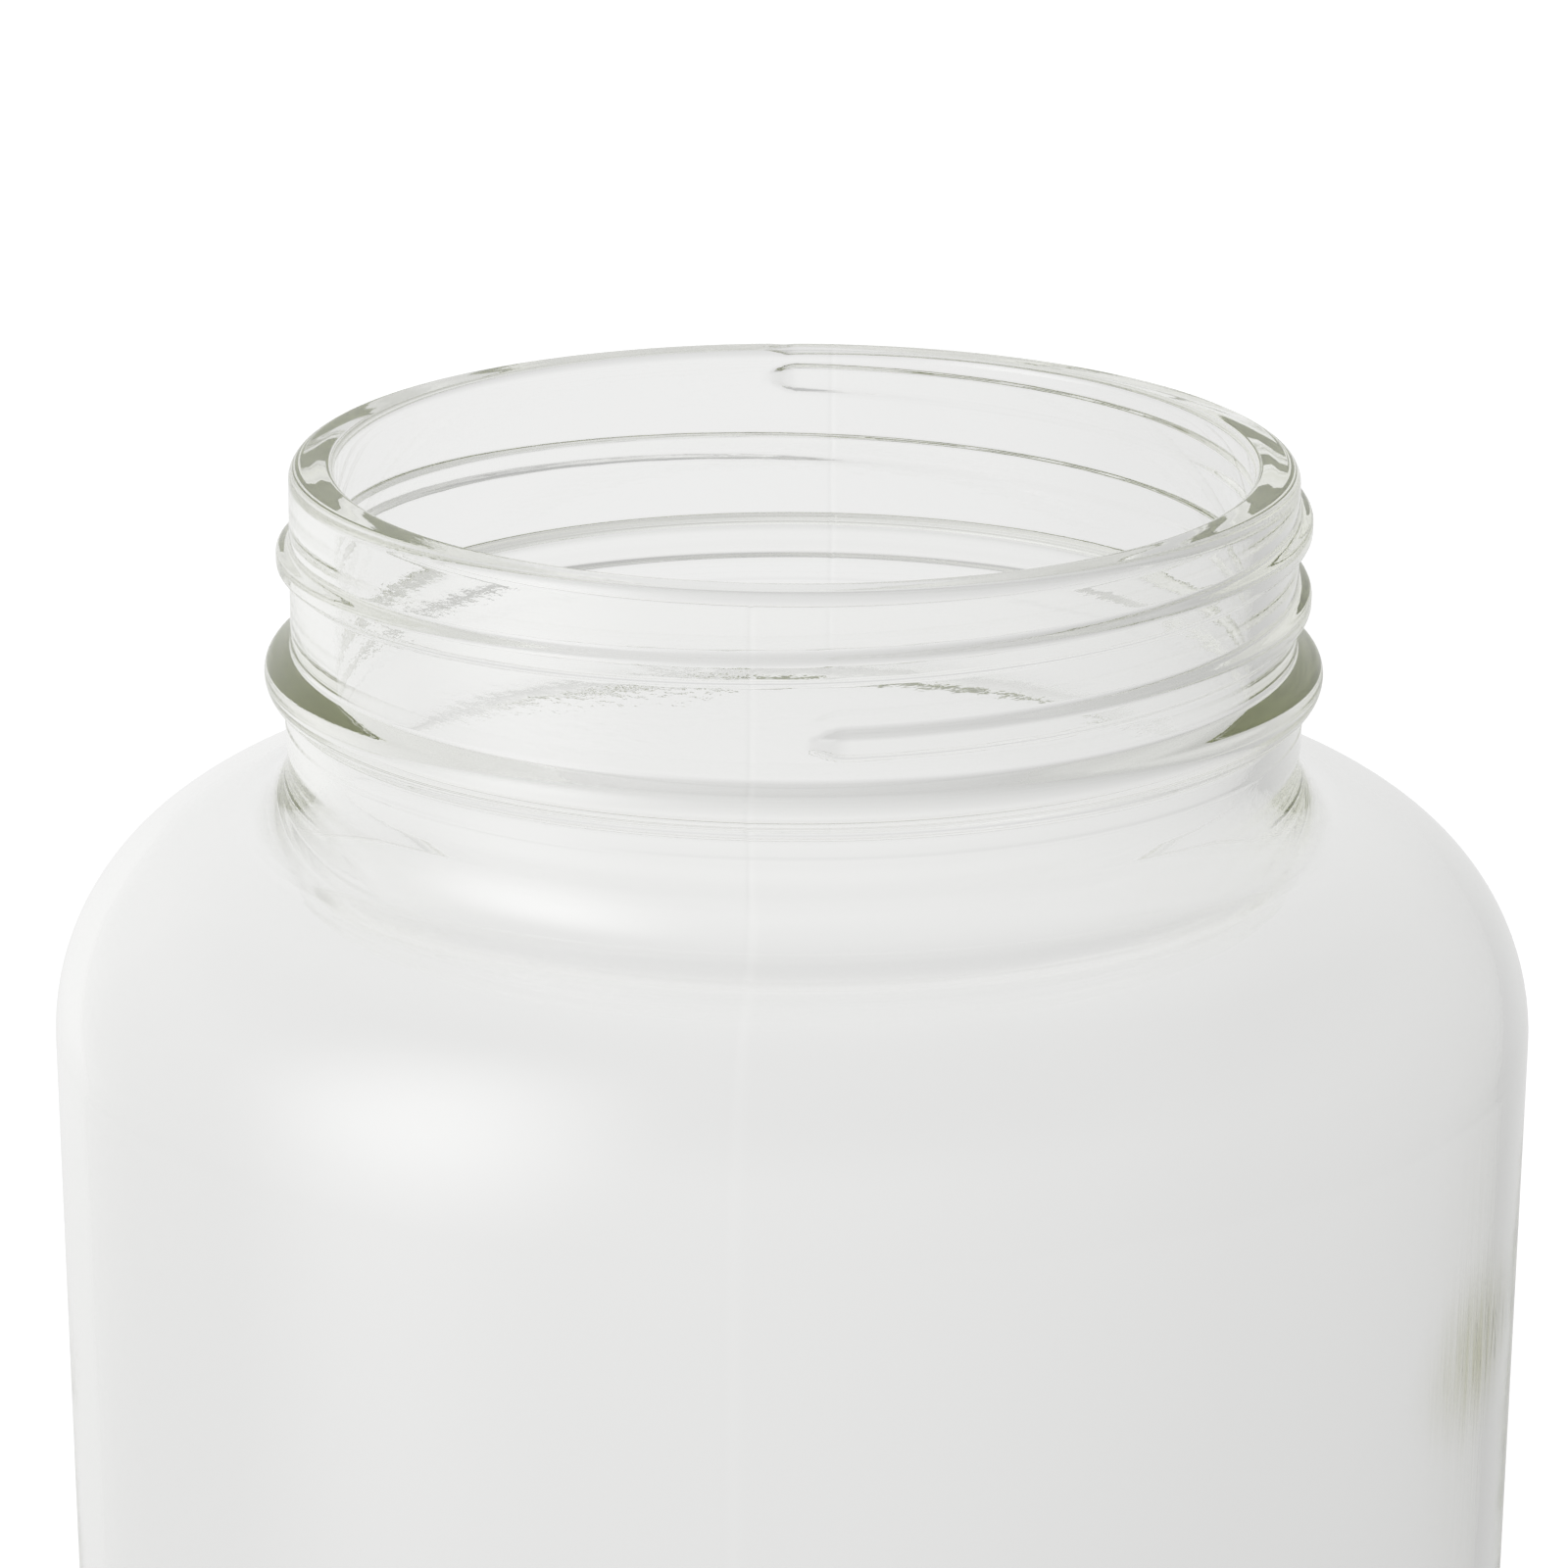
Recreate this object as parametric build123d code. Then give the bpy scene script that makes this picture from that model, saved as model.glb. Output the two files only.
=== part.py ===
from build123d import *
import os
from math import acos, cos, degrees, pi, radians, sin, sqrt, tan

# A wide-mouthed glass storage jar in one piece, standing upright.
# The origin is on the surface that the jar stands on, on the jar's axis.
# +Z points up, -Y is the jar's front and +X its right-hand side.
# Lengths are in millimetres and angles in degrees.

# Body
jar_height = 205.0
body_diameter = 123.8
body_wall = 2.2
body_taper_angle = 1.1
widest_depth = 48.2
root_depth = 24.5
root_radius = 5.0
inner_root_radius = 9.0

# Base
heel_radius = 12.0
inner_heel_radius = 10.0
base_thickness = 5.0
bearing_ring_width = 3.0
push_up_height = 3.5
floor_rise = 2.0

# Neck and lip
neck_diameter = 83.6
neck_wall = 3.8
lip_outer_round = 1.5
lip_inner_round = 0.7

# Collar bead, a full ring under the thread
collar_stand_out = 2.0
collar_depth = 17.3
collar_half_height = 2.0
collar_blend_radius = 0.9

# Thread, one right-handed ridge that winds down from the back of the neck to its front
thread_stand_out = 1.1
thread_pitch = 6.2
thread_turns = 1.5
thread_width = 2.5
thread_corner_radius = 0.7
thread_top_depth = 3.0
thread_root_sink = 0.6
thread_front_angle = -90.0
run_out_length = 5.0
run_out_sink = 0.2
run_out_width_share = 0.6

# Radii and heights worked out from the sizes above
neck_radius = neck_diameter / 2
mouth_radius = neck_radius - neck_wall
body_radius = body_diameter / 2
collar_radius = neck_radius + collar_stand_out
inner_radius = body_radius - body_wall
widest_height = jar_height - widest_depth
root_height = jar_height - root_depth
collar_height = jar_height - collar_depth
thread_low_height = jar_height - thread_top_depth - thread_pitch * thread_turns
taper = radians(body_taper_angle)


def at(radius, height):
    """A point of the jar's outline, in the plane that cuts it through its axis."""
    return Vector(radius, 0, height)


def arc(centre_radius, centre_height, radius, start_angle, end_angle):
    """A round of the outline. Its angles count up from straight outwards."""
    points = []
    for angle in (start_angle, (start_angle + end_angle) / 2, end_angle):
        turn = radians(angle)
        points.append(at(centre_radius + radius * cos(turn), centre_height + radius * sin(turn)))
    return ThreePointArc(*points)


def radii_sum(step_out, drop):
    """Two arcs that touch lead from one upright line to another, step_out further
    from the axis and drop lower down. This is the sum of their radii."""
    return (step_out**2 + drop**2) / (2 * step_out)


def meeting_angle(step_out, both_radii):
    """The angle at which two such arcs meet, seen from the centre of the outer one."""
    return degrees(acos((both_radii - step_out) / both_radii))


def wall_radius(widest_radius, shoulder_radius, height):
    """The radius of a wall that leaves its shoulder's arc at a tangent and tapers."""
    tangent_radius = widest_radius - shoulder_radius * (1 - cos(taper))
    tangent_height = widest_height - shoulder_radius * sin(taper)
    return tangent_radius - (tangent_height - height) * tan(taper)


def heel_arc(widest_radius, shoulder_radius, radius, lowest_height):
    """The round at the foot of a wall, from its lowest point up to the wall."""
    centre_height = lowest_height + radius
    centre_radius = wall_radius(widest_radius, shoulder_radius, centre_height) - radius / cos(taper)
    return arc(centre_radius, centre_height, radius, -90, -body_taper_angle)


# The shoulder's outer arc follows from how far the body steps out and drops
shoulder_step = body_radius - neck_radius
shoulder_radii_sum = radii_sum(shoulder_step, root_height - widest_height)
shoulder_radius = shoulder_radii_sum - root_radius
shoulder_angle = meeting_angle(shoulder_step, shoulder_radii_sum)

# Its inner arc has the same centre height and keeps the wall's thickness. The inner root's arc
# is larger than the outer one's by more than that, because the neck's wall is the thicker one.
inner_step = inner_radius - mouth_radius
inner_shoulder_radius = shoulder_radius - body_wall
inner_radii_sum = inner_shoulder_radius + inner_root_radius
inner_shoulder_angle = meeting_angle(inner_step, inner_radii_sum)
inner_root_height = widest_height + sqrt(2 * inner_step * inner_radii_sum - inner_step**2)


def base_and_body_outline():
    """The outside of the glass, from the middle of the base up to the neck's root."""
    heel = heel_arc(body_radius, shoulder_radius, heel_radius, 0)
    ring_edge = at((heel @ 0).X - bearing_ring_width, 0)
    push_up = TangentArc(at(0, push_up_height), ring_edge, tangent=(1, 0, 0))
    bearing_ring = Line(ring_edge, heel @ 0)
    shoulder = arc(
        body_radius - shoulder_radius, widest_height, shoulder_radius, -body_taper_angle, shoulder_angle
    )
    wall = Line(heel @ 1, shoulder @ 0)
    root = arc(neck_radius + root_radius, root_height, root_radius, 180 + shoulder_angle, 180)
    return [push_up, bearing_ring, heel, wall, shoulder, root]


def neck_outline():
    """The outside of the neck with its collar bead, up to the top of the lip."""
    both_radii = radii_sum(collar_stand_out, collar_half_height)
    bead_radius = both_radii - collar_blend_radius
    angle = meeting_angle(collar_stand_out, both_radii)
    blend_centre_radius = neck_radius + collar_blend_radius
    bead_foot = collar_height - collar_half_height
    bead_head = collar_height + collar_half_height
    lower_blend = arc(blend_centre_radius, bead_foot, collar_blend_radius, 180, 180 - angle)
    bead = arc(collar_radius - bead_radius, collar_height, bead_radius, -angle, angle)
    upper_blend = arc(blend_centre_radius, bead_head, collar_blend_radius, 180 + angle, 180)
    outer_round_height = jar_height - lip_outer_round
    lip_round = arc(neck_radius - lip_outer_round, outer_round_height, lip_outer_round, 0, 90)
    return [
        Line(at(neck_radius, root_height), lower_blend @ 0),
        lower_blend,
        bead,
        upper_blend,
        Line(upper_blend @ 1, lip_round @ 0),
        lip_round,
    ]


def inside_outline():
    """The inside of the glass, from the top of the lip down to the middle of the floor."""
    inner_round_height = jar_height - lip_inner_round
    lip_round = arc(mouth_radius + lip_inner_round, inner_round_height, lip_inner_round, 90, 180)
    root = arc(
        mouth_radius + inner_root_radius,
        inner_root_height,
        inner_root_radius,
        180,
        180 + inner_shoulder_angle,
    )
    shoulder = arc(
        inner_radius - inner_shoulder_radius,
        widest_height,
        inner_shoulder_radius,
        inner_shoulder_angle,
        -body_taper_angle,
    )
    heel = heel_arc(inner_radius, inner_shoulder_radius, inner_heel_radius, base_thickness)
    floor = TangentArc(at(0, base_thickness + floor_rise), heel @ 0, tangent=(1, 0, 0))
    lip_top = Line(at(neck_radius - lip_outer_round, jar_height), lip_round @ 0)
    bore = Line(lip_round @ 1, root @ 0)
    wall = Line(shoulder @ 1, heel @ 1)
    return [lip_top, lip_round, bore, root, shoulder, wall, heel, floor]


def glass_without_thread():
    """The whole jar but its thread, turned about the axis."""
    axis_line = Line(at(0, base_thickness + floor_rise), at(0, push_up_height))
    outline = base_and_body_outline() + neck_outline() + inside_outline() + [axis_line]
    return revolve(make_face(Wire(outline)), axis=Axis.Z)


def thread_plane(angle_along):
    """The plane across the thread, at an angle counted up from its lower, front end."""
    turn = radians(thread_front_angle + angle_along)
    height = thread_low_height + thread_pitch * angle_along / 360
    rise = thread_pitch / (2 * pi * neck_radius)
    return Plane(
        origin=(neck_radius * cos(turn), neck_radius * sin(turn), height),
        x_dir=(cos(turn), sin(turn), 0),
        z_dir=(-sin(turn), cos(turn), rise),
    )


def thread_section(width, crest_height):
    """The thread's section, rounded at the crest and sunk into the neck at its root."""
    depth = thread_stand_out + thread_root_sink
    block = Pos(crest_height - depth / 2, 0) * Rectangle(depth, width)
    return fillet(block.vertices().group_by(Axis.X)[-1], thread_corner_radius)


def thread():
    """The ridge: its whole section along most of the helix, run out at both ends."""
    run_out_angle = degrees(run_out_length / neck_radius)
    last_angle = 360 * thread_turns
    whole_angle = last_angle - 2 * run_out_angle
    whole = thread_section(thread_width, thread_stand_out)
    faded = thread_section(thread_width * run_out_width_share, -run_out_sink)
    helix = Helix(thread_pitch, thread_pitch * whole_angle / 360, neck_radius)
    start = thread_plane(run_out_angle)
    path = Pos(0, 0, start.origin.Z) * Rot(0, 0, thread_front_angle + run_out_angle) * helix
    ridge = sweep(start * whole, path=path, is_frenet=True)
    front_end = loft([thread_plane(0) * faded, start * whole])
    back_end = loft([thread_plane(last_angle - run_out_angle) * whole, thread_plane(last_angle) * faded])
    return [ridge, front_end, back_end]


def glass_jar():
    """The one piece of glass: base, body, shoulder, neck, collar bead, thread and lip."""
    glass = glass_without_thread()
    for piece in thread():
        glass = glass + piece
    return glass


os.makedirs("parts", exist_ok=True)
export_step(glass_jar(), "parts/glass_jar.step")
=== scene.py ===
import math

import bpy
import numpy as np
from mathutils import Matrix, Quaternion, Vector

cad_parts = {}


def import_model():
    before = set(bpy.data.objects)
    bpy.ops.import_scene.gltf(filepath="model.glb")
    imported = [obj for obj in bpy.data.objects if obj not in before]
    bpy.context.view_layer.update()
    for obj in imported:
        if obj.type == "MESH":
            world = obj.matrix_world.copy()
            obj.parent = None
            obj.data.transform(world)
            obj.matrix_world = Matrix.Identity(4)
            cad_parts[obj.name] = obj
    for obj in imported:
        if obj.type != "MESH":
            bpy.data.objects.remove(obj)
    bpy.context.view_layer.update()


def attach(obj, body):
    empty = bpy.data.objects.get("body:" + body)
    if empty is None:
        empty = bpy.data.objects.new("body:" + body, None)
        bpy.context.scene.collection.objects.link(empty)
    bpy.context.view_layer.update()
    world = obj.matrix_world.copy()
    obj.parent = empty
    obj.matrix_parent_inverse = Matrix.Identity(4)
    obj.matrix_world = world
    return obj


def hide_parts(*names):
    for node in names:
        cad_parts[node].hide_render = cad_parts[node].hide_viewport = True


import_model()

# The frame is in metres, +Z up, with the jar standing on z = 0 and its front towards -Y.
# The jar's own sizes are in millimetres, as in the part's source. Angles are in degrees, and an
# angle round the jar counts from +X. A range holds the low and the high end of a change.
MM = 0.001

# Body
jar_height = 205.0
body_radius = 61.9
body_wall = 2.2
taper_angle = 1.1
widest_depth = 48.2
widest_height = jar_height - widest_depth
root_depth = 24.5
root_height = jar_height - root_depth
root_radius = 5.0
inner_root_radius = 9.0

# Base
heel_radius = 12.0
inner_heel_radius = 10.0
base_thickness = 5.0
bearing_ring_width = 3.0
push_up_height = 3.5
floor_rise = 2.0

# Neck, lip and collar bead. The bead's upper and lower halves have their own rounds.
neck_radius = 41.8
mouth_radius = 38.0
lip_outer_round = 1.1
lip_inner_round = 0.7
collar_radius = 44.0
collar_depth = 17.4
collar_height = jar_height - collar_depth
collar_upper_round = 1.55
collar_lower_round = 2.2
collar_upper_angle = 65.0
collar_lower_angle = -62.0
collar_upper_blend = 0.35
collar_lower_blend = 0.9

# Thread, right-handed, from its low end near the front up to its high end near the back. The
# middle of its crest passes thread_low_height at thread_front_angle.
thread_pitch = 6.2
thread_turns = 1.5
thread_top_depth = 3.0
thread_low_height = jar_height - thread_top_depth - thread_pitch * thread_turns
thread_front_angle = -90.0
thread_low_angle = -88.8
thread_high_angle = 454.0
thread_end_length = 3.2
thread_end_width_share = 0.45

# The thread's section differs round the neck. Each row gives the angle it is centred on, how far
# it reaches, half its crest's width, how far its upper and its lower flank reach from the crest's
# middle, and how far it stands out.
thread_sections = (
    (-92.0, 60.0, 0.65, 1.45, 1.30, 1.10),
    (0.0, 24.0, 0.35, 1.50, 1.50, 1.12),
    (62.0, 36.0, 0.90, 1.35, 1.90, 0.42),
    (105.0, 25.0, 0.55, 1.15, 1.25, 1.10),
    (180.0, 50.0, 0.40, 1.50, 1.50, 1.10),
)

# Mould seams, at the front and the back, from the heel to the lip and faint below the neck
seam_angle = -94.6
seam_stand_out = 0.05
seam_half_width = 0.22
seam_share_on_body = 0.1
seam_rise = (2.0, heel_radius)
seam_neck_range = (root_height - 6.0, root_height)
seam_fall = (jar_height - 2.0, jar_height)

# The step at the front seam, where one mould half sat a little further in than the other
seam_step = 0.08
seam_step_width = 1.2
seam_step_length = 6.0
seam_step_rise = (10.0, 30.0)
seam_step_fall = (root_height - 4.0, root_height + 2.0)

# The line where the neck ring met the body mould
ring_line_height = root_height + 3.0
ring_line_stand_out = 0.05
ring_line_half_width = 0.2

# A small dip in the lip's top, at the back
dip_angle = 91.4
dip_half_width = 0.8
dip_depth = 0.07
dip_range = (jar_height - 1.2, jar_height - 0.2)

# A swell of the outside round the neck's root, and extra thickness inside it and the shoulder
collar_swell = 0.38
collar_swell_rise = (root_height - 8.5, root_height - 1.0)
collar_swell_fall = (root_height + 0.5, root_height + 4.5)
shoulder_extra = 0.15
shoulder_extra_rise = (root_height - 35.5, root_height - 3.5)
shoulder_extra_fall = (root_height - 3.5, root_height + 9.5)

# Slow swells of the blown walls. Each row gives a swell's strength, its waves round the jar, its
# twist in radians per millimetre of height, and how much of a wall's own shift it takes. They
# fade out towards the base, the neck and the lip.
wall_swells = (
    (0.45, 2, 0.021, 1.0),
    (0.30, 3, -0.034, 1.7),
    (0.15, 5, 0.060, 2.9),
    (0.10, 1, -0.110, 0.6),
)
outer_wave = 0.02
outer_shift = 0.4
inner_wave = 0.03
inner_shift = 2.2
inner_wave_share_on_neck = 0.25
calm_heel_range = (heel_radius, heel_radius + 15.0)
calm_neck_range = (root_height, root_height + 6.0)
calm_lip_range = (jar_height - 4.0, jar_height - 1.5)

# The mesh's columns in degrees, closer together near the mould seams and the thread's ends
column_step = 1.5
seam_column_step = 0.15
seam_column_reach = 1.2
thread_end_column_step = 0.75
thread_end_column_reach = 4.5
thread_end_column_inset = 3.0
least_column_gap = 0.12

# The glass itself. Its tint is the colour that light takes on over a long way through it.
glass_ior = 1.52
glass_tint = (0.55, 0.58, 0.33, 1)
glass_tint_density = 7.0

# Fine ripple and slow swells of the glass, as a bump. A noise's scale is per metre. The ripple is
# strong in patches of the neck, and weak between them, on the body and on the bead.
ripple_height = 0.026
ripple_scale = 700.0
ripple_stretch = (1.0, 1.0, 2.6)
patch_scale = 38.0
patch_stretch = (1.0, 1.0, 3.0)
patch_range = (0.58, 0.72)
ripple_between_patches = 0.12
ripple_on_body = 0.10
ripple_neck_range = (root_height - 4.5, root_height + 5.5)
ripple_on_bead = 0.04
ripple_bead_range = (2.2, 3.6)
swell_scale = 60.0
swell_stretch = (1.0, 1.0, 2.2)
swell_to_ripple = 0.5
coarse_detail = 1.0
fine_detail = 3.0

# Two more patches. Each row gives a patch's angle and height, half its width and height, and its
# strength.
ripple_patches = (
    (-141.0, jar_height - 7.5, 15.0, 8.0, 0.70),
    (-40.0, jar_height - 8.0, 13.0, 6.0, 0.35),
)

# The share of its size over which such a patch, or the painted dark reflection, has its full strength
full_share = 0.1

# A painted dark reflection at the front right, olive, dense in one place and faint above and below it
painted_reflection_angle = -23.5
painted_reflection_height = jar_height - 69.0
painted_reflection_half_width = 14.0
painted_reflection_half_height = 10.0
painted_reflection_faint_half_height = 32.0
painted_reflection_faint = 0.22
painted_reflection_tint = (0.46, 0.46, 0.25, 1)
painted_reflection_grazing_power = 1.5
painted_reflection_thread_scale = 1300.0
painted_reflection_thread_stretch = (1.0, 1.0, 0.07)
painted_reflection_thread_range = (0.25, 0.75)
painted_reflection_thread_strength = (0.6, 1.3)
painted_reflection_to_ripple = 0.3

# The studio that glass shows: its brightness, how much more it has straight behind and in front,
# and how it falls off from left to right, mostly at the back. It is dimmer overhead.
seen_level = 0.76
seen_back = 0.10
seen_front = 0.14
seen_across = 0.24
seen_at_sides = 0.15
across_share = 0.3
across_by_back = 0.9
seen_overhead = 0.65
overhead_range = (0.25, 0.85)

# The lamp at the front left: its wide glow is for reflections, and its core is what the glass
# lets through. A reach is in degrees, a softness is the power that the glow falls off by, and a
# squash under 1 makes it tall.
lamp_azimuth = -61.0
lamp_elevation = 18.0
lamp_squash = 0.6
lamp_reach = 46.0
lamp_softness = 3.0
lamp_glow = 2.4
core_reach = 34.0
core_softness = 0.6
core_glow = 0.09

# The floor, in metres. The camera sees it as white. Glass shows it as the studio, seen from a point
# above its middle, with painted shade under the jar and near it.
floor_half_size = 6.0
floor_tone = 0.6
camera_floor = 0.62
seen_from_height = 0.14
painted_shade_under_jar = 0.88
painted_shade_under_jar_range = (body_radius * MM, 0.095)
painted_shade_near_jar = 0.91
painted_shade_near_jar_range = (0.2, 0.75)

# The photograph's camera, in metres, degrees and pixels. The lip's centre counts from the left
# and the top of the picture.
camera_distance = 0.6547
camera_elevation = 14.45
camera_roll = 0.25
focal_pixels = 8079.5
picture_size = 1600
lip_x = 810.8
lip_y = 469.3
sensor_width = 36.0

# Light crosses the thick glass many times before it leaves
bounces = 512


def smooth(edge_low, edge_high, value):
    """Rises from 0 at edge_low to 1 at edge_high, level at both ends."""
    share = np.clip((value - edge_low) / (edge_high - edge_low), 0, 1)
    return share * share * (3 - 2 * share)


def between(rise, fall, value):
    """Rises from 0 to 1 over one range of a value and falls back to 0 over another."""
    return smooth(*rise, value) * (1 - smooth(*fall, value))


def apart(angles, centre):
    """How far angles lie from a centre, the short way round: negative before it."""
    return (angles - centre + 180) % 360 - 180


def hump(distance, half_width):
    """1 where a distance is 0, falling smoothly to 0 on both sides."""
    return np.exp(-((distance / half_width) ** 2))


def line(start, end, count):
    """Points along a straight run of the profile, without its end."""
    share = np.linspace(0, 1, count, endpoint=False)[:, None]
    return np.array(start) * (1 - share) + np.array(end) * share


def arc(centre, radius, start_angle, end_angle, count):
    """Points along a round of the profile, without its end. Angles count up from outwards."""
    turn = np.radians(np.linspace(start_angle, end_angle, count, endpoint=False))
    return np.stack([centre[0] + radius * np.cos(turn), centre[1] + radius * np.sin(turn)], -1)


def on_arc(centre, radius, angle):
    """The point of a round at an angle."""
    turn = math.radians(angle)
    return centre[0] + radius * math.cos(turn), centre[1] + radius * math.sin(turn)


def meeting_angle(step_out, both_radii):
    """The angle at which two touching arcs meet, when they step a wall out by step_out and their
    radii add up to both_radii."""
    return math.degrees(math.acos((both_radii - step_out) / both_radii))


def wall_radius(widest, shoulder, height):
    """The radius of a wall that leaves its shoulder's round at a tangent and tapers."""
    taper = math.radians(taper_angle)
    tangent_height = widest_height - shoulder * math.sin(taper)
    return widest - shoulder * (1 - math.cos(taper)) - (tangent_height - height) * math.tan(taper)


def heel_centre(widest, shoulder, radius, lowest_height):
    """The centre of the round at the foot of a wall."""
    taper = math.radians(taper_angle)
    height = lowest_height + radius
    return wall_radius(widest, shoulder, height) - radius / math.cos(taper), height


def dome(edge_radius, rise):
    """The radius of a shallow dome in the middle of the base or floor, and half its angle."""
    radius = (edge_radius**2 + rise**2) / (2 * rise)
    return radius, math.degrees(math.asin(edge_radius / radius))


# The shoulder's arcs and the neck's root, outside and inside, follow from the sizes above
shoulder_step = body_radius - neck_radius
outer_radii_sum = (shoulder_step**2 + (root_height - widest_height) ** 2) / (2 * shoulder_step)
shoulder_radius = outer_radii_sum - root_radius
shoulder_angle = meeting_angle(shoulder_step, outer_radii_sum)
inner_radius = body_radius - body_wall
inner_step = inner_radius - mouth_radius
inner_shoulder_radius = shoulder_radius - body_wall
inner_radii_sum = inner_shoulder_radius + inner_root_radius
inner_shoulder_angle = meeting_angle(inner_step, inner_radii_sum)
inner_root_height = widest_height + math.sqrt(2 * inner_step * inner_radii_sum - inner_step**2)


# The last number of each run below is how many steps it is cut into
def base_and_body_runs():
    """The runs of the outside's profile, from the middle of the base up to the neck's root."""
    heel = heel_centre(body_radius, shoulder_radius, heel_radius, 0)
    shoulder = (body_radius - shoulder_radius, widest_height)
    root = (neck_radius + root_radius, root_height)
    ring_edge = heel[0] - bearing_ring_width
    dome_radius, dome_angle = dome(ring_edge, push_up_height)
    wall_foot = on_arc(heel, heel_radius, -taper_angle)
    wall_head = on_arc(shoulder, shoulder_radius, -taper_angle)
    return [
        arc((0, push_up_height - dome_radius), dome_radius, 90, 90 - dome_angle, 9)[1:],
        line((ring_edge, 0), (heel[0], 0), 3),
        arc(heel, heel_radius, -90, -taper_angle, 12),
        line(wall_foot, wall_head, 24),
        arc(shoulder, shoulder_radius, -taper_angle, shoulder_angle, 26),
        arc(root, root_radius, 180 + shoulder_angle, 180, 12),
    ]


def neck_runs():
    """The runs of the outside's profile, from the neck's root over the bead to the lip's top."""
    upper = (collar_radius - collar_upper_round, collar_height)
    lower = (collar_radius - collar_lower_round, collar_height)
    # The bead's foot blends into the short neck below it, which leans out to meet it
    foot_start = on_arc(lower, collar_lower_round, collar_lower_angle)
    foot = on_arc(foot_start, collar_lower_blend, collar_lower_angle)
    foot_end = (foot[0] - collar_lower_blend, foot[1])
    short_neck = [(neck_radius, root_height)]
    ring_reach = 2 * ring_line_half_width
    for height in (ring_line_height - ring_reach, ring_line_height + ring_reach):
        radius = np.interp(height, (root_height, foot_end[1]), (neck_radius, foot_end[0]))
        short_neck.append((radius, height))
    # The bead's upper side runs straight up to the neck and blends into it
    ledge_end = on_arc(upper, collar_upper_round, collar_upper_angle)
    ledge_rise = (ledge_end[0] - neck_radius) * math.tan(math.radians(90 - collar_upper_angle))
    head_height = ledge_end[1] + ledge_rise + collar_upper_blend
    head = (neck_radius + collar_upper_blend, head_height)
    lip = (neck_radius - lip_outer_round, jar_height - lip_outer_round)
    return [
        line(short_neck[0], short_neck[1], 3),
        line(short_neck[1], short_neck[2], 8),
        line(short_neck[2], foot_end, 2),
        arc(foot, collar_lower_blend, 180, 180 + collar_lower_angle, 5),
        arc(lower, collar_lower_round, collar_lower_angle, 0, 9),
        arc(upper, collar_upper_round, 0, collar_upper_angle, 11),
        line(ledge_end, on_arc(head, collar_upper_blend, 180 + collar_upper_angle), 3),
        arc(head, collar_upper_blend, 180 + collar_upper_angle, 180, 5),
        line((neck_radius, head_height), (neck_radius, lip[1]), 82),
        arc(lip, lip_outer_round, 0, 90, 9),
        line((lip[0], jar_height), (mouth_radius + lip_inner_round, jar_height), 3),
    ]


def inside_runs():
    """The runs of the inside's profile, from the lip's top down to the middle of the floor."""
    lip = (mouth_radius + lip_inner_round, jar_height - lip_inner_round)
    root = (mouth_radius + inner_root_radius, inner_root_height)
    shoulder = (inner_radius - inner_shoulder_radius, widest_height)
    heel = heel_centre(inner_radius, inner_shoulder_radius, inner_heel_radius, base_thickness)
    dome_radius, dome_angle = dome(heel[0], floor_rise)
    wall_head = on_arc(shoulder, inner_shoulder_radius, -taper_angle)
    wall_foot = on_arc(heel, inner_heel_radius, -taper_angle)
    return [
        arc(lip, lip_inner_round, 90, 180, 6),
        line((mouth_radius, lip[1]), (mouth_radius, inner_root_height), 16),
        arc(root, inner_root_radius, 180, 180 + inner_shoulder_angle, 14),
        arc(shoulder, inner_shoulder_radius, inner_shoulder_angle, -taper_angle, 22),
        line(wall_head, wall_foot, 24),
        arc(heel, inner_heel_radius, -taper_angle, -90, 10),
        arc((0, base_thickness + floor_rise - dome_radius), dome_radius, 90 - dome_angle, 90, 8),
    ]


def thread_section(angles):
    """Each measure of the thread's section at each angle, blended between the rows of its table."""
    weights = [hump(apart(angles, row[0]), row[1]) for row in thread_sections]
    measures = list(zip(*thread_sections))[2:]
    return [sum(w * size for w, size in zip(weights, sizes)) / sum(weights) for sizes in measures]


def thread_relief(angles, height):
    """How far the thread stands out of the neck, at each angle round the axis and height."""
    end = math.degrees(thread_end_length / neck_radius)
    rise = (thread_low_angle, thread_low_angle + end)
    fall = (thread_high_angle - end, thread_high_angle)
    half_crest, upper, lower, stand_out = thread_section(angles)
    relief = np.zeros(np.broadcast(angles, height).shape)
    for turn in range(-1, 3):
        along = angles + 360 * turn
        above = height - thread_low_height - thread_pitch * (along - thread_front_angle) / 360
        fade = between(rise, fall, along)
        width_share = thread_end_width_share + (1 - thread_end_width_share) * fade
        reach = np.where(above > 0, upper, lower) * width_share
        shape = 1 - smooth(half_crest * np.sqrt(fade), reach, np.abs(above))
        relief = np.maximum(relief, stand_out * fade * shape)
    return relief


def seam_relief(angles, height):
    """The fine ridges that the two mould halves left, front and back."""
    relief = 0
    for centre in (seam_angle, seam_angle + 180):
        away = np.radians(apart(angles, centre)) * neck_radius
        relief = relief + seam_stand_out * hump(away, seam_half_width)
    share = seam_share_on_body + (1 - seam_share_on_body) * smooth(*seam_neck_range, height)
    return relief * between(seam_rise, seam_fall, height) * share


def seam_dip(angles, height):
    """The step at the front seam: the wall falls off just past the seam and comes back."""
    past = np.radians(apart(angles, seam_angle)) * body_radius
    dip = smooth(0, seam_step_width, past) * np.exp(-np.maximum(past, 0) / seam_step_length)
    return seam_step * dip * between(seam_step_rise, seam_step_fall, height)


def uneven(angles, height, shift):
    """Slow swells of a blown wall, between -1 and 1."""
    turn = np.radians(angles)
    return sum(
        strength * np.sin(waves * turn + twist * height + share * shift)
        for strength, waves, twist, share in wall_swells
    )


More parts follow.
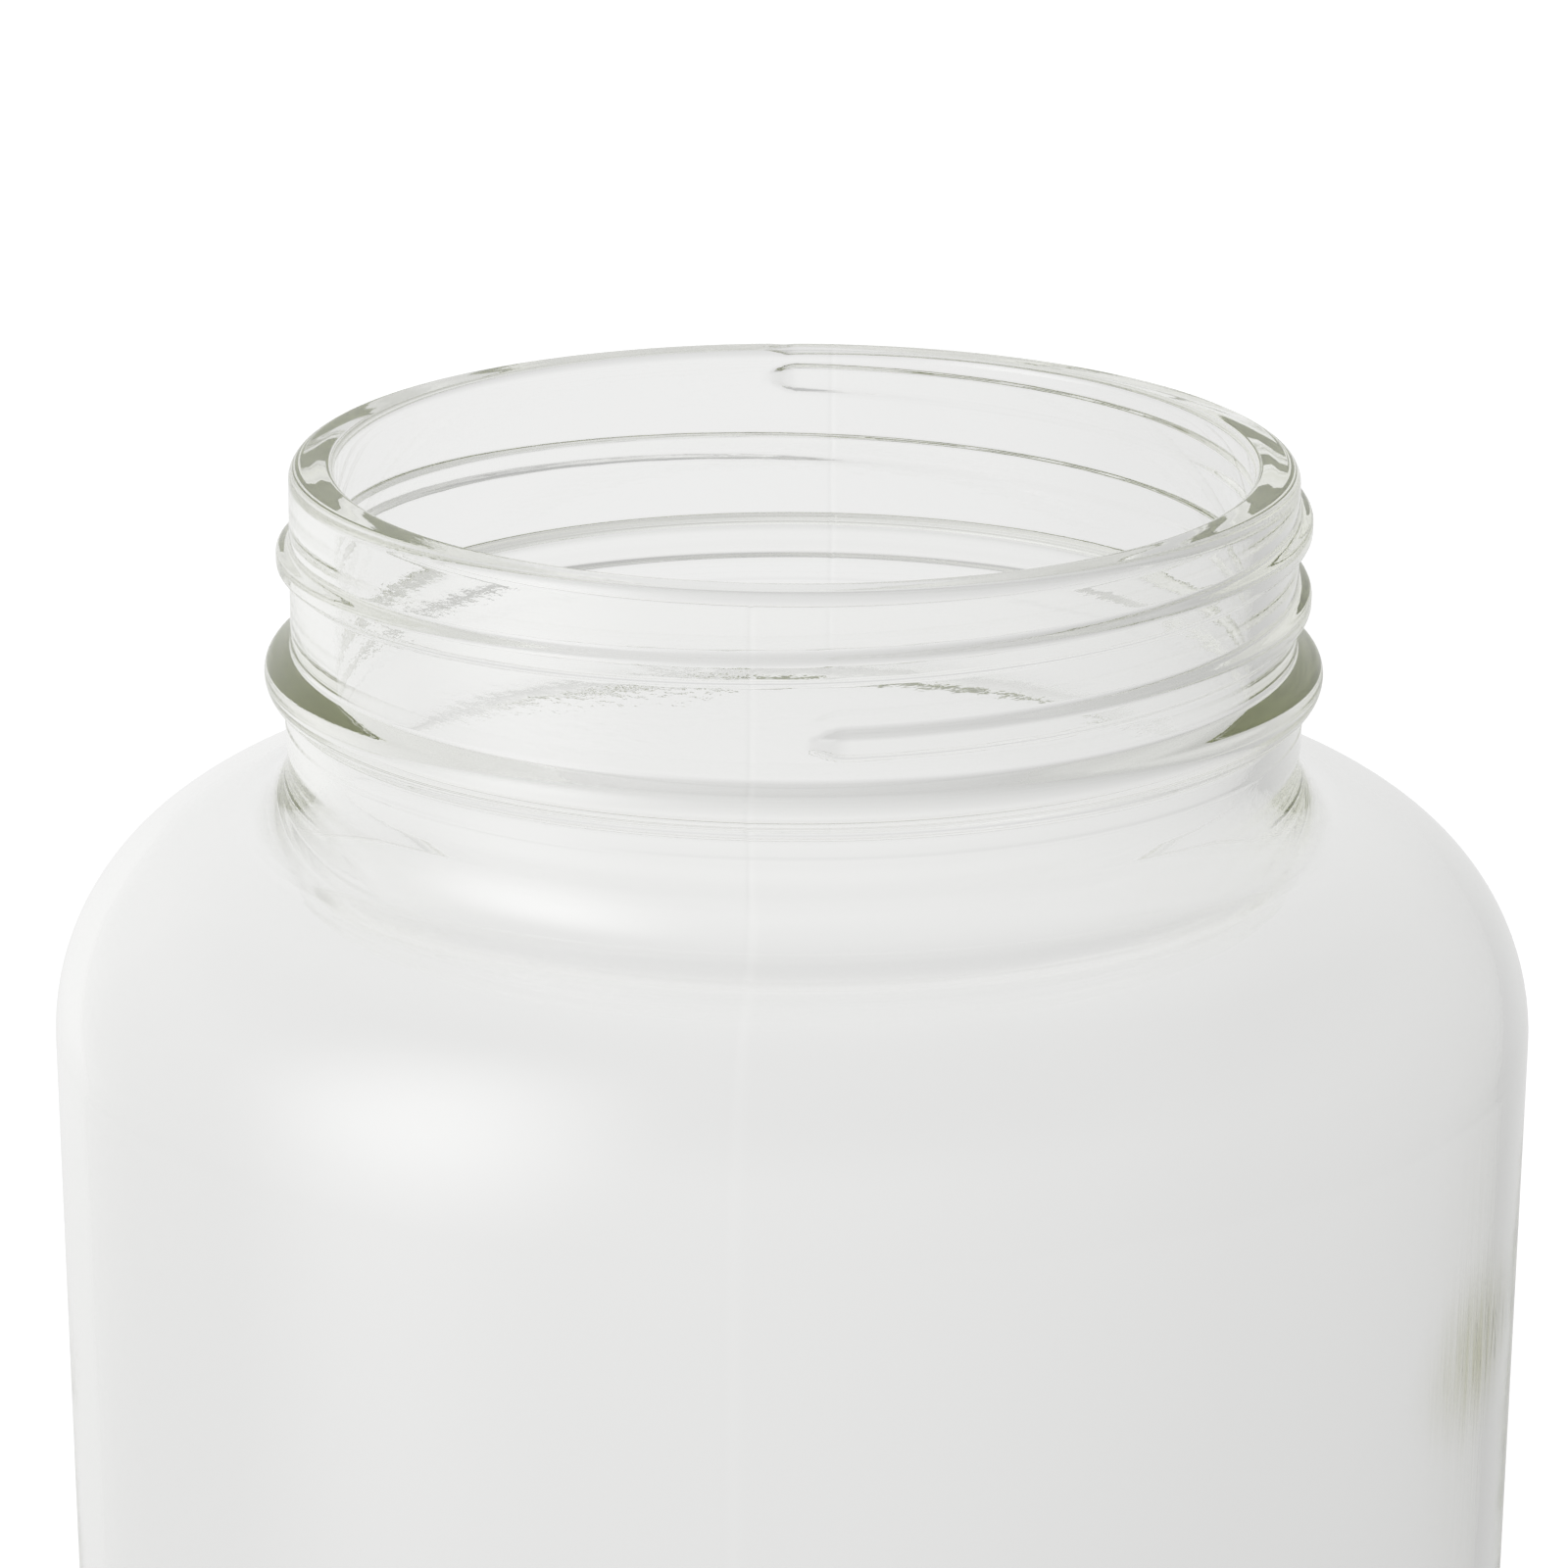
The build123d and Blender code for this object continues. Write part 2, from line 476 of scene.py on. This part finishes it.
def outside_relief(angles, height):
    """How far the outside stands out of its plain profile."""
    ring_line = ring_line_stand_out * hump(height - ring_line_height, ring_line_half_width)
    swell = collar_swell * between(collar_swell_rise, collar_swell_fall, height)
    sunk = outer_wave * (1 + uneven(angles, height, outer_shift))
    sunk = sunk * between(calm_heel_range, calm_neck_range, height)
    relief = thread_relief(angles, height) + seam_relief(angles, height) - seam_dip(angles, height)
    return relief + ring_line + swell - sunk


def inside_relief(angles, height):
    """How far the inside stands in from its plain profile, which makes the glass thicker."""
    share = inner_wave_share_on_neck
    share = share + (1 - share) * (1 - smooth(*calm_neck_range, height))
    wave = inner_wave * share * uneven(angles, height, inner_shift)
    wave = wave * between(calm_heel_range, calm_lip_range, height)
    return wave + shoulder_extra * between(shoulder_extra_rise, shoulder_extra_fall, height)


def column_angles():
    """The angles of the mesh's columns round the jar."""
    low_end = thread_low_angle % 360 + thread_end_column_inset
    high_end = thread_high_angle % 360 - thread_end_column_inset
    angles = set(np.round(np.arange(0, 360, column_step), 3))
    for centre, reach, step in (
        (seam_angle % 360, seam_column_reach, seam_column_step),
        ((seam_angle + 180) % 360, seam_column_reach, seam_column_step),
        (low_end, thread_end_column_reach, thread_end_column_step),
        (high_end, thread_end_column_reach, thread_end_column_step),
    ):
        angles |= set(np.round(np.arange(centre - reach, centre + reach, step) % 360, 3))
    kept = []
    for angle in sorted(angles):
        if not kept or angle - kept[-1] > least_column_gap:
            kept.append(angle)
    return np.array(kept)


def glass_points(angles):
    """The points of the glass in millimetres: a row for each point of its profile, from beside the
    middle of the base over the lip to beside the middle of the floor, and a column for each angle."""
    outside = np.concatenate(base_and_body_runs() + neck_runs())
    inside = np.concatenate(inside_runs())
    profile = np.concatenate([outside, inside])
    along = np.gradient(profile, axis=0)
    along /= np.linalg.norm(along, axis=1)[:, None]
    outer = outside_relief(angles, outside[:, 1:])
    inner = inside_relief(angles, inside[:, 1:])
    relief = np.concatenate([outer, inner])
    radius = profile[:, :1] + along[:, 1:] * relief
    height = profile[:, 1:] - along[:, :1] * relief
    away = np.radians(apart(angles, dip_angle)) * neck_radius
    dip = dip_depth * hump(away, dip_half_width) * smooth(*dip_range, profile[:, 1:])
    height = height - dip
    turn = np.radians(angles)
    return np.stack([radius * np.cos(turn), radius * np.sin(turn), height], -1)


def build_glass():
    """The jar's glass as one closed mesh: quads between its rows, and a fan at either middle."""
    grid = glass_points(column_angles()[None, :])
    rows, columns = grid.shape[:2]
    base_middle, floor_middle = rows * columns, rows * columns + 1
    middles = [(0, 0, push_up_height), (0, 0, base_thickness + floor_rise)]
    points = np.concatenate([grid.reshape(-1, 3), middles]) * MM
    corner = np.arange(rows * columns).reshape(rows, columns)
    beside = np.roll(corner, -1, axis=1)
    quads = np.stack([corner[:-1], beside[:-1], beside[1:], corner[1:]], -1)
    faces = quads.reshape(-1, 4).tolist()
    faces += [(base_middle, j, i) for i, j in zip(corner[0].tolist(), beside[0].tolist())]
    faces += [(floor_middle, i, j) for i, j in zip(corner[-1].tolist(), beside[-1].tolist())]
    mesh = bpy.data.meshes.new("jar_glass")
    mesh.from_pydata(points.tolist(), [], faces)
    mesh.validate()
    mesh.shade_smooth()
    jar = bpy.data.objects.new("jar_glass", mesh)
    bpy.context.scene.collection.objects.link(jar)
    return jar


def feed(tree, socket, value):
    """Links another node's output to an input, or sets the input to a number or numbers."""
    if isinstance(value, bpy.types.NodeSocket):
        tree.links.new(value, socket)
    else:
        socket.default_value = value


def math_node(tree, operation, *values):
    """The result of a Math node."""
    node = tree.nodes.new("ShaderNodeMath")
    node.operation = operation
    for socket, value in zip(node.inputs, values):
        feed(tree, socket, value)
    return node.outputs["Value"]


def vector_node(tree, operation, *values):
    """The result of a Vector Math node: a number for a length or a dot product, else a vector."""
    node = tree.nodes.new("ShaderNodeVectorMath")
    node.operation = operation
    for socket, value in zip(node.inputs, values):
        feed(tree, socket, value)
    return node.outputs["Value" if operation in ("LENGTH", "DOT_PRODUCT") else "Vector"]


def mix_node(tree, factor, at_0, at_1):
    """A number that goes from one value to another as the factor goes from 0 to 1."""
    node = tree.nodes.new("ShaderNodeMix")
    for name, value in (("Factor", factor), ("A", at_0), ("B", at_1)):
        feed(tree, node.inputs[name], value)
    return node.outputs["Result"]


def split_node(tree, vector):
    """A vector's X, Y and Z."""
    node = tree.nodes.new("ShaderNodeSeparateXYZ")
    feed(tree, node.inputs["Vector"], vector)
    return node.outputs["X"], node.outputs["Y"], node.outputs["Z"]


def ramp(tree, value, value_range, at_low, at_high, shape="SMOOTHSTEP"):
    """Goes from one level at the low end of a value's range to another at its high end."""
    node = tree.nodes.new("ShaderNodeMapRange")
    node.interpolation_type = shape
    for name, level in (
        ("Value", value),
        ("From Min", value_range[0]),
        ("From Max", value_range[1]),
        ("To Min", at_low),
        ("To Max", at_high),
    ):
        feed(tree, node.inputs[name], level)
    return node.outputs["Result"]


def noise(tree, where, stretch, scale, detail):
    """Noise in the jar's own space, in metres. A small stretch draws it out along that axis."""
    mapping = tree.nodes.new("ShaderNodeMapping")
    feed(tree, mapping.inputs["Vector"], where)
    feed(tree, mapping.inputs["Scale"], stretch)
    texture = tree.nodes.new("ShaderNodeTexNoise")
    feed(tree, texture.inputs["Vector"], mapping.outputs["Vector"])
    feed(tree, texture.inputs["Scale"], scale)
    feed(tree, texture.inputs["Detail"], detail)
    return texture.outputs["Fac"]


def near(tree, where, radius, angle, height, half_width, half_height):
    """1 at a point of the jar and just round it, falling to 0 at half_width beside it and at
    half_height above and below it. All sizes are in millimetres."""
    turn = math.radians(angle)
    middle = Vector((radius * math.cos(turn), radius * math.sin(turn), height)) * MM
    shrink = (1 / (half_width * MM), 1 / (half_width * MM), 1 / (half_height * MM))
    offset = vector_node(tree, "SUBTRACT", where, middle)
    away = vector_node(tree, "LENGTH", vector_node(tree, "MULTIPLY", offset, shrink))
    return ramp(tree, away, (full_share, 1.0), 1.0, 0.0)


def metres(heights):
    """A range in millimetres as one in metres."""
    return [height * MM for height in heights]


def glass_ripple(tree, where):
    """The bump of the pressed and blown glass: waves that run round it, strong in patches of the
    neck, over slow swells."""
    z = split_node(tree, where)[2]
    patches = noise(tree, where, patch_stretch, patch_scale, coarse_detail)
    patches = ramp(tree, patches, patch_range, ripple_between_patches, 1.0)
    for angle, height, half_width, half_height, strength in ripple_patches:
        patch = near(tree, where, neck_radius, angle, height, half_width, half_height)
        patches = math_node(tree, "MULTIPLY_ADD", patch, strength, patches)
    on_neck = ramp(tree, z, metres(ripple_neck_range), ripple_on_body, 1.0)
    from_bead = math_node(tree, "ABSOLUTE", math_node(tree, "SUBTRACT", z, collar_height * MM))
    off_bead = ramp(tree, from_bead, metres(ripple_bead_range), ripple_on_bead, 1.0)
    ripple = noise(tree, where, ripple_stretch, ripple_scale, fine_detail)
    for share in (patches, on_neck, off_bead):
        ripple = math_node(tree, "MULTIPLY", ripple, share)
    swells = noise(tree, where, swell_stretch, swell_scale, coarse_detail)
    return math_node(tree, "MULTIPLY_ADD", swells, swell_to_ripple, ripple)


def painted_dark_reflection(tree, where):
    """The painted dark reflection's strength, broken up by upright threads, and the threads
    themselves.
    """
    place = (body_radius, painted_reflection_angle, painted_reflection_height, painted_reflection_half_width)
    dense = near(tree, where, *place, painted_reflection_half_height)
    faint = near(tree, where, *place, painted_reflection_faint_half_height)
    painted_reflection_mask = math_node(tree, "MULTIPLY_ADD", faint, painted_reflection_faint, dense)
    painted_reflection_threads = noise(tree, where, painted_reflection_thread_stretch, painted_reflection_thread_scale, fine_detail)
    strength = ramp(tree, painted_reflection_threads, painted_reflection_thread_range, *painted_reflection_thread_strength)
    return math_node(tree, "MULTIPLY", painted_reflection_mask, strength), painted_reflection_threads


def glass_material():
    """Clear soda-lime glass, faintly olive where it is thick, with the ripple of a pressed neck and a
    dark reflection painted into its colour at the front right.
    """
    material = bpy.data.materials.new("clear_glass")
    material.use_nodes = True
    tree = material.node_tree
    shader = tree.nodes["Principled BSDF"]
    shader.inputs["Base Color"].default_value = (1, 1, 1, 1)
    shader.inputs["Roughness"].default_value = 0.0
    shader.inputs["IOR"].default_value = glass_ior
    shader.inputs["Transmission Weight"].default_value = 1.0
    where = tree.nodes.new("ShaderNodeTexCoord").outputs["Object"]
    painted_reflection_mask, painted_reflection_threads = painted_dark_reflection(tree, where)
    # The painted dark reflection shows where the wall is seen at a slant. A Mix node's colour inputs
    # are its seventh and eighth, and its colour output is its third.
    weight = tree.nodes.new("ShaderNodeLayerWeight")
    weight.inputs["Blend"].default_value = 0.5
    grazing = math_node(tree, "POWER", weight.outputs["Facing"], painted_reflection_grazing_power)
    painted_reflection_mix = tree.nodes.new("ShaderNodeMix")
    painted_reflection_mix.data_type = "RGBA"
    feed(tree, painted_reflection_mix.inputs["Factor"], math_node(tree, "MULTIPLY", painted_reflection_mask, grazing))
    feed(tree, painted_reflection_mix.inputs[6], (1, 1, 1, 1))
    feed(tree, painted_reflection_mix.inputs[7], painted_reflection_tint)
    feed(tree, shader.inputs["Base Color"], painted_reflection_mix.outputs[2])
    bump = tree.nodes.new("ShaderNodeBump")
    bump.inputs["Strength"].default_value = 1.0
    bump.inputs["Distance"].default_value = ripple_height * MM
    ripple = glass_ripple(tree, where)
    painted_reflection_bump = math_node(tree, "MULTIPLY", painted_reflection_mask, painted_reflection_threads)
    ripple = math_node(tree, "MULTIPLY_ADD", painted_reflection_bump, painted_reflection_to_ripple, ripple)
    feed(tree, bump.inputs["Height"], ripple)
    feed(tree, shader.inputs["Normal"], bump.outputs["Normal"])
    absorb = tree.nodes.new("ShaderNodeVolumeAbsorption")
    absorb.inputs["Color"].default_value = glass_tint
    absorb.inputs["Density"].default_value = glass_tint_density
    feed(tree, tree.nodes["Material Output"].inputs["Volume"], absorb.outputs["Volume"])
    return material


def side_level(tree, x, y):
    """The studio's brightness by direction: x counts to the right and y to the back."""
    across = math_node(tree, "MULTIPLY_ADD", x, seen_at_sides, seen_across)
    across = math_node(tree, "MULTIPLY", across, x)
    weight = math_node(tree, "MULTIPLY_ADD", y, across_by_back, across_share)
    weight = math_node(tree, "MAXIMUM", weight, across_share)
    across = math_node(tree, "MULTIPLY", across, weight)
    behind = math_node(tree, "MAXIMUM", y, 0.0)
    in_front = math_node(tree, "MAXIMUM", math_node(tree, "MULTIPLY", y, -1.0), 0.0)
    level = math_node(tree, "MULTIPLY_ADD", behind, seen_back, seen_level)
    level = math_node(tree, "MULTIPLY_ADD", in_front, seen_front, level)
    return math_node(tree, "SUBTRACT", level, across)


def lamp(tree, direction, path):
    """The lamp's glow by direction: wide in reflections, and weak through the glass."""
    azimuth, elevation = math.radians(lamp_azimuth), math.radians(lamp_elevation)
    towards = (
        math.cos(elevation) * math.sin(azimuth),
        -math.cos(elevation) * math.cos(azimuth),
        math.sin(elevation),
    )
    squashed = vector_node(tree, "MULTIPLY", direction, (1.0, 1.0, lamp_squash))
    facing = vector_node(tree, "DOT_PRODUCT", vector_node(tree, "NORMALIZE", squashed), towards)
    glows = []
    for reach, softness, strength in (
        (lamp_reach, lamp_softness, lamp_glow),
        (core_reach, core_softness, core_glow),
    ):
        fall = ramp(tree, facing, (math.cos(math.radians(reach)), 1.0), 0.0, 1.0, "LINEAR")
        soft = math_node(tree, "POWER", fall, softness)
        glows.append(math_node(tree, "MULTIPLY", soft, strength))
    return mix_node(tree, path.outputs["Is Transmission Ray"], *glows)


def floor():
    """A wide pale floor that reads as white to the camera and keeps the jar's shadow. Glass shows it
    as the studio's lowest part, with painted shade under the jar and near it."""
    half = floor_half_size
    corners = [(-half, -half, 0), (half, -half, 0), (half, half, 0), (-half, half, 0)]
    mesh = bpy.data.meshes.new("studio_floor")
    mesh.from_pydata(corners, [], [(0, 1, 2, 3)])
    studio_floor = bpy.data.objects.new("studio_floor", mesh)
    bpy.context.scene.collection.objects.link(studio_floor)
    material = bpy.data.materials.new("studio_floor")
    material.use_nodes = True
    tree = material.node_tree
    shader = tree.nodes["Principled BSDF"]
    shader.inputs["Roughness"].default_value = 1.0
    shader.inputs["Specular IOR Level"].default_value = 0.0
    shader.inputs["Emission Color"].default_value = (1, 1, 1, 1)
    where = tree.nodes.new("ShaderNodeTexCoord").outputs["Object"]
    seen_from = vector_node(tree, "SUBTRACT", where, (0, 0, seen_from_height))
    direction = vector_node(tree, "NORMALIZE", seen_from)
    x, y = split_node(tree, direction)[:2]
    path = tree.nodes.new("ShaderNodeLightPath")
    level = math_node(tree, "ADD", side_level(tree, x, y), lamp(tree, direction, path))
    away = vector_node(tree, "LENGTH", where)
    # Painted shade: what glass shows of the floor is darker under the jar and near it
    for reach, shade_at_jar in ((painted_shade_under_jar_range, painted_shade_under_jar), (painted_shade_near_jar_range, painted_shade_near_jar)):
        level = math_node(tree, "MULTIPLY", level, ramp(tree, away, reach, shade_at_jar, 1.0))
    through, mirrored = path.outputs["Is Transmission Ray"], path.outputs["Is Glossy Ray"]
    by_glass = math_node(tree, "MAXIMUM", through, mirrored)
    straight = math_node(tree, "MULTIPLY", path.outputs["Is Camera Ray"], camera_floor)
    seen = math_node(tree, "MULTIPLY_ADD", by_glass, level, straight)
    lit = math_node(tree, "MULTIPLY_ADD", by_glass, -floor_tone, floor_tone)
    feed(tree, shader.inputs["Emission Strength"], seen)
    feed(tree, shader.inputs["Base Color"], lit)
    mesh.materials.append(material)


def world():
    """White for the camera. What lights the jar is the studio, dimmer overhead, and the lamp."""
    studio = bpy.data.worlds.new("studio")
    bpy.context.scene.world = studio
    studio.use_nodes = True
    tree = studio.node_tree
    background = tree.nodes["Background"]
    background.inputs["Color"].default_value = (1, 1, 1, 1)
    direction = tree.nodes.new("ShaderNodeTexCoord").outputs["Generated"]
    x, y, z = split_node(tree, direction)
    path = tree.nodes.new("ShaderNodeLightPath")
    overhead = ramp(tree, z, overhead_range, 1.0, seen_overhead)
    level = math_node(tree, "MULTIPLY", side_level(tree, x, y), overhead)
    level = math_node(tree, "ADD", level, lamp(tree, direction, path))
    level = mix_node(tree, path.outputs["Is Camera Ray"], level, 1.0)
    feed(tree, background.inputs["Strength"], level)


def camera():
    """The photograph's viewpoint: in front of the jar and a little above its lip."""
    elevation = math.radians(camera_elevation)
    data = bpy.data.cameras.new("camera")
    data.sensor_width = sensor_width
    data.lens = sensor_width * focal_pixels / picture_size
    data.clip_start = 0.01
    data.clip_end = 100.0
    viewpoint = bpy.data.objects.new("camera", data)
    bpy.context.scene.collection.objects.link(viewpoint)
    lip = Vector((0, 0, jar_height * MM))
    back = Vector((0, -math.cos(elevation), math.sin(elevation)))
    aim = (-back).to_track_quat("-Z", "Y")
    right = (lip_x - picture_size / 2) / focal_pixels
    up = (picture_size / 2 - lip_y) / focal_pixels
    offset = Vector((right, up, -1)).rotation_difference(Vector((0, 0, -1)))
    viewpoint.rotation_mode = "QUATERNION"
    viewpoint.location = lip + back * camera_distance
    viewpoint.rotation_quaternion = aim @ Quaternion((0, 0, 1), math.radians(camera_roll)) @ offset
    bpy.context.scene.camera = viewpoint


jar = build_glass()
jar.data.materials.append(glass_material())
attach(jar, "root")
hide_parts("glass_jar")

floor()
world()
camera()

scene = bpy.context.scene
scene.view_settings.view_transform = "Standard"
scene.cycles.max_bounces = bounces
scene.cycles.glossy_bounces = bounces
scene.cycles.transmission_bounces = bounces
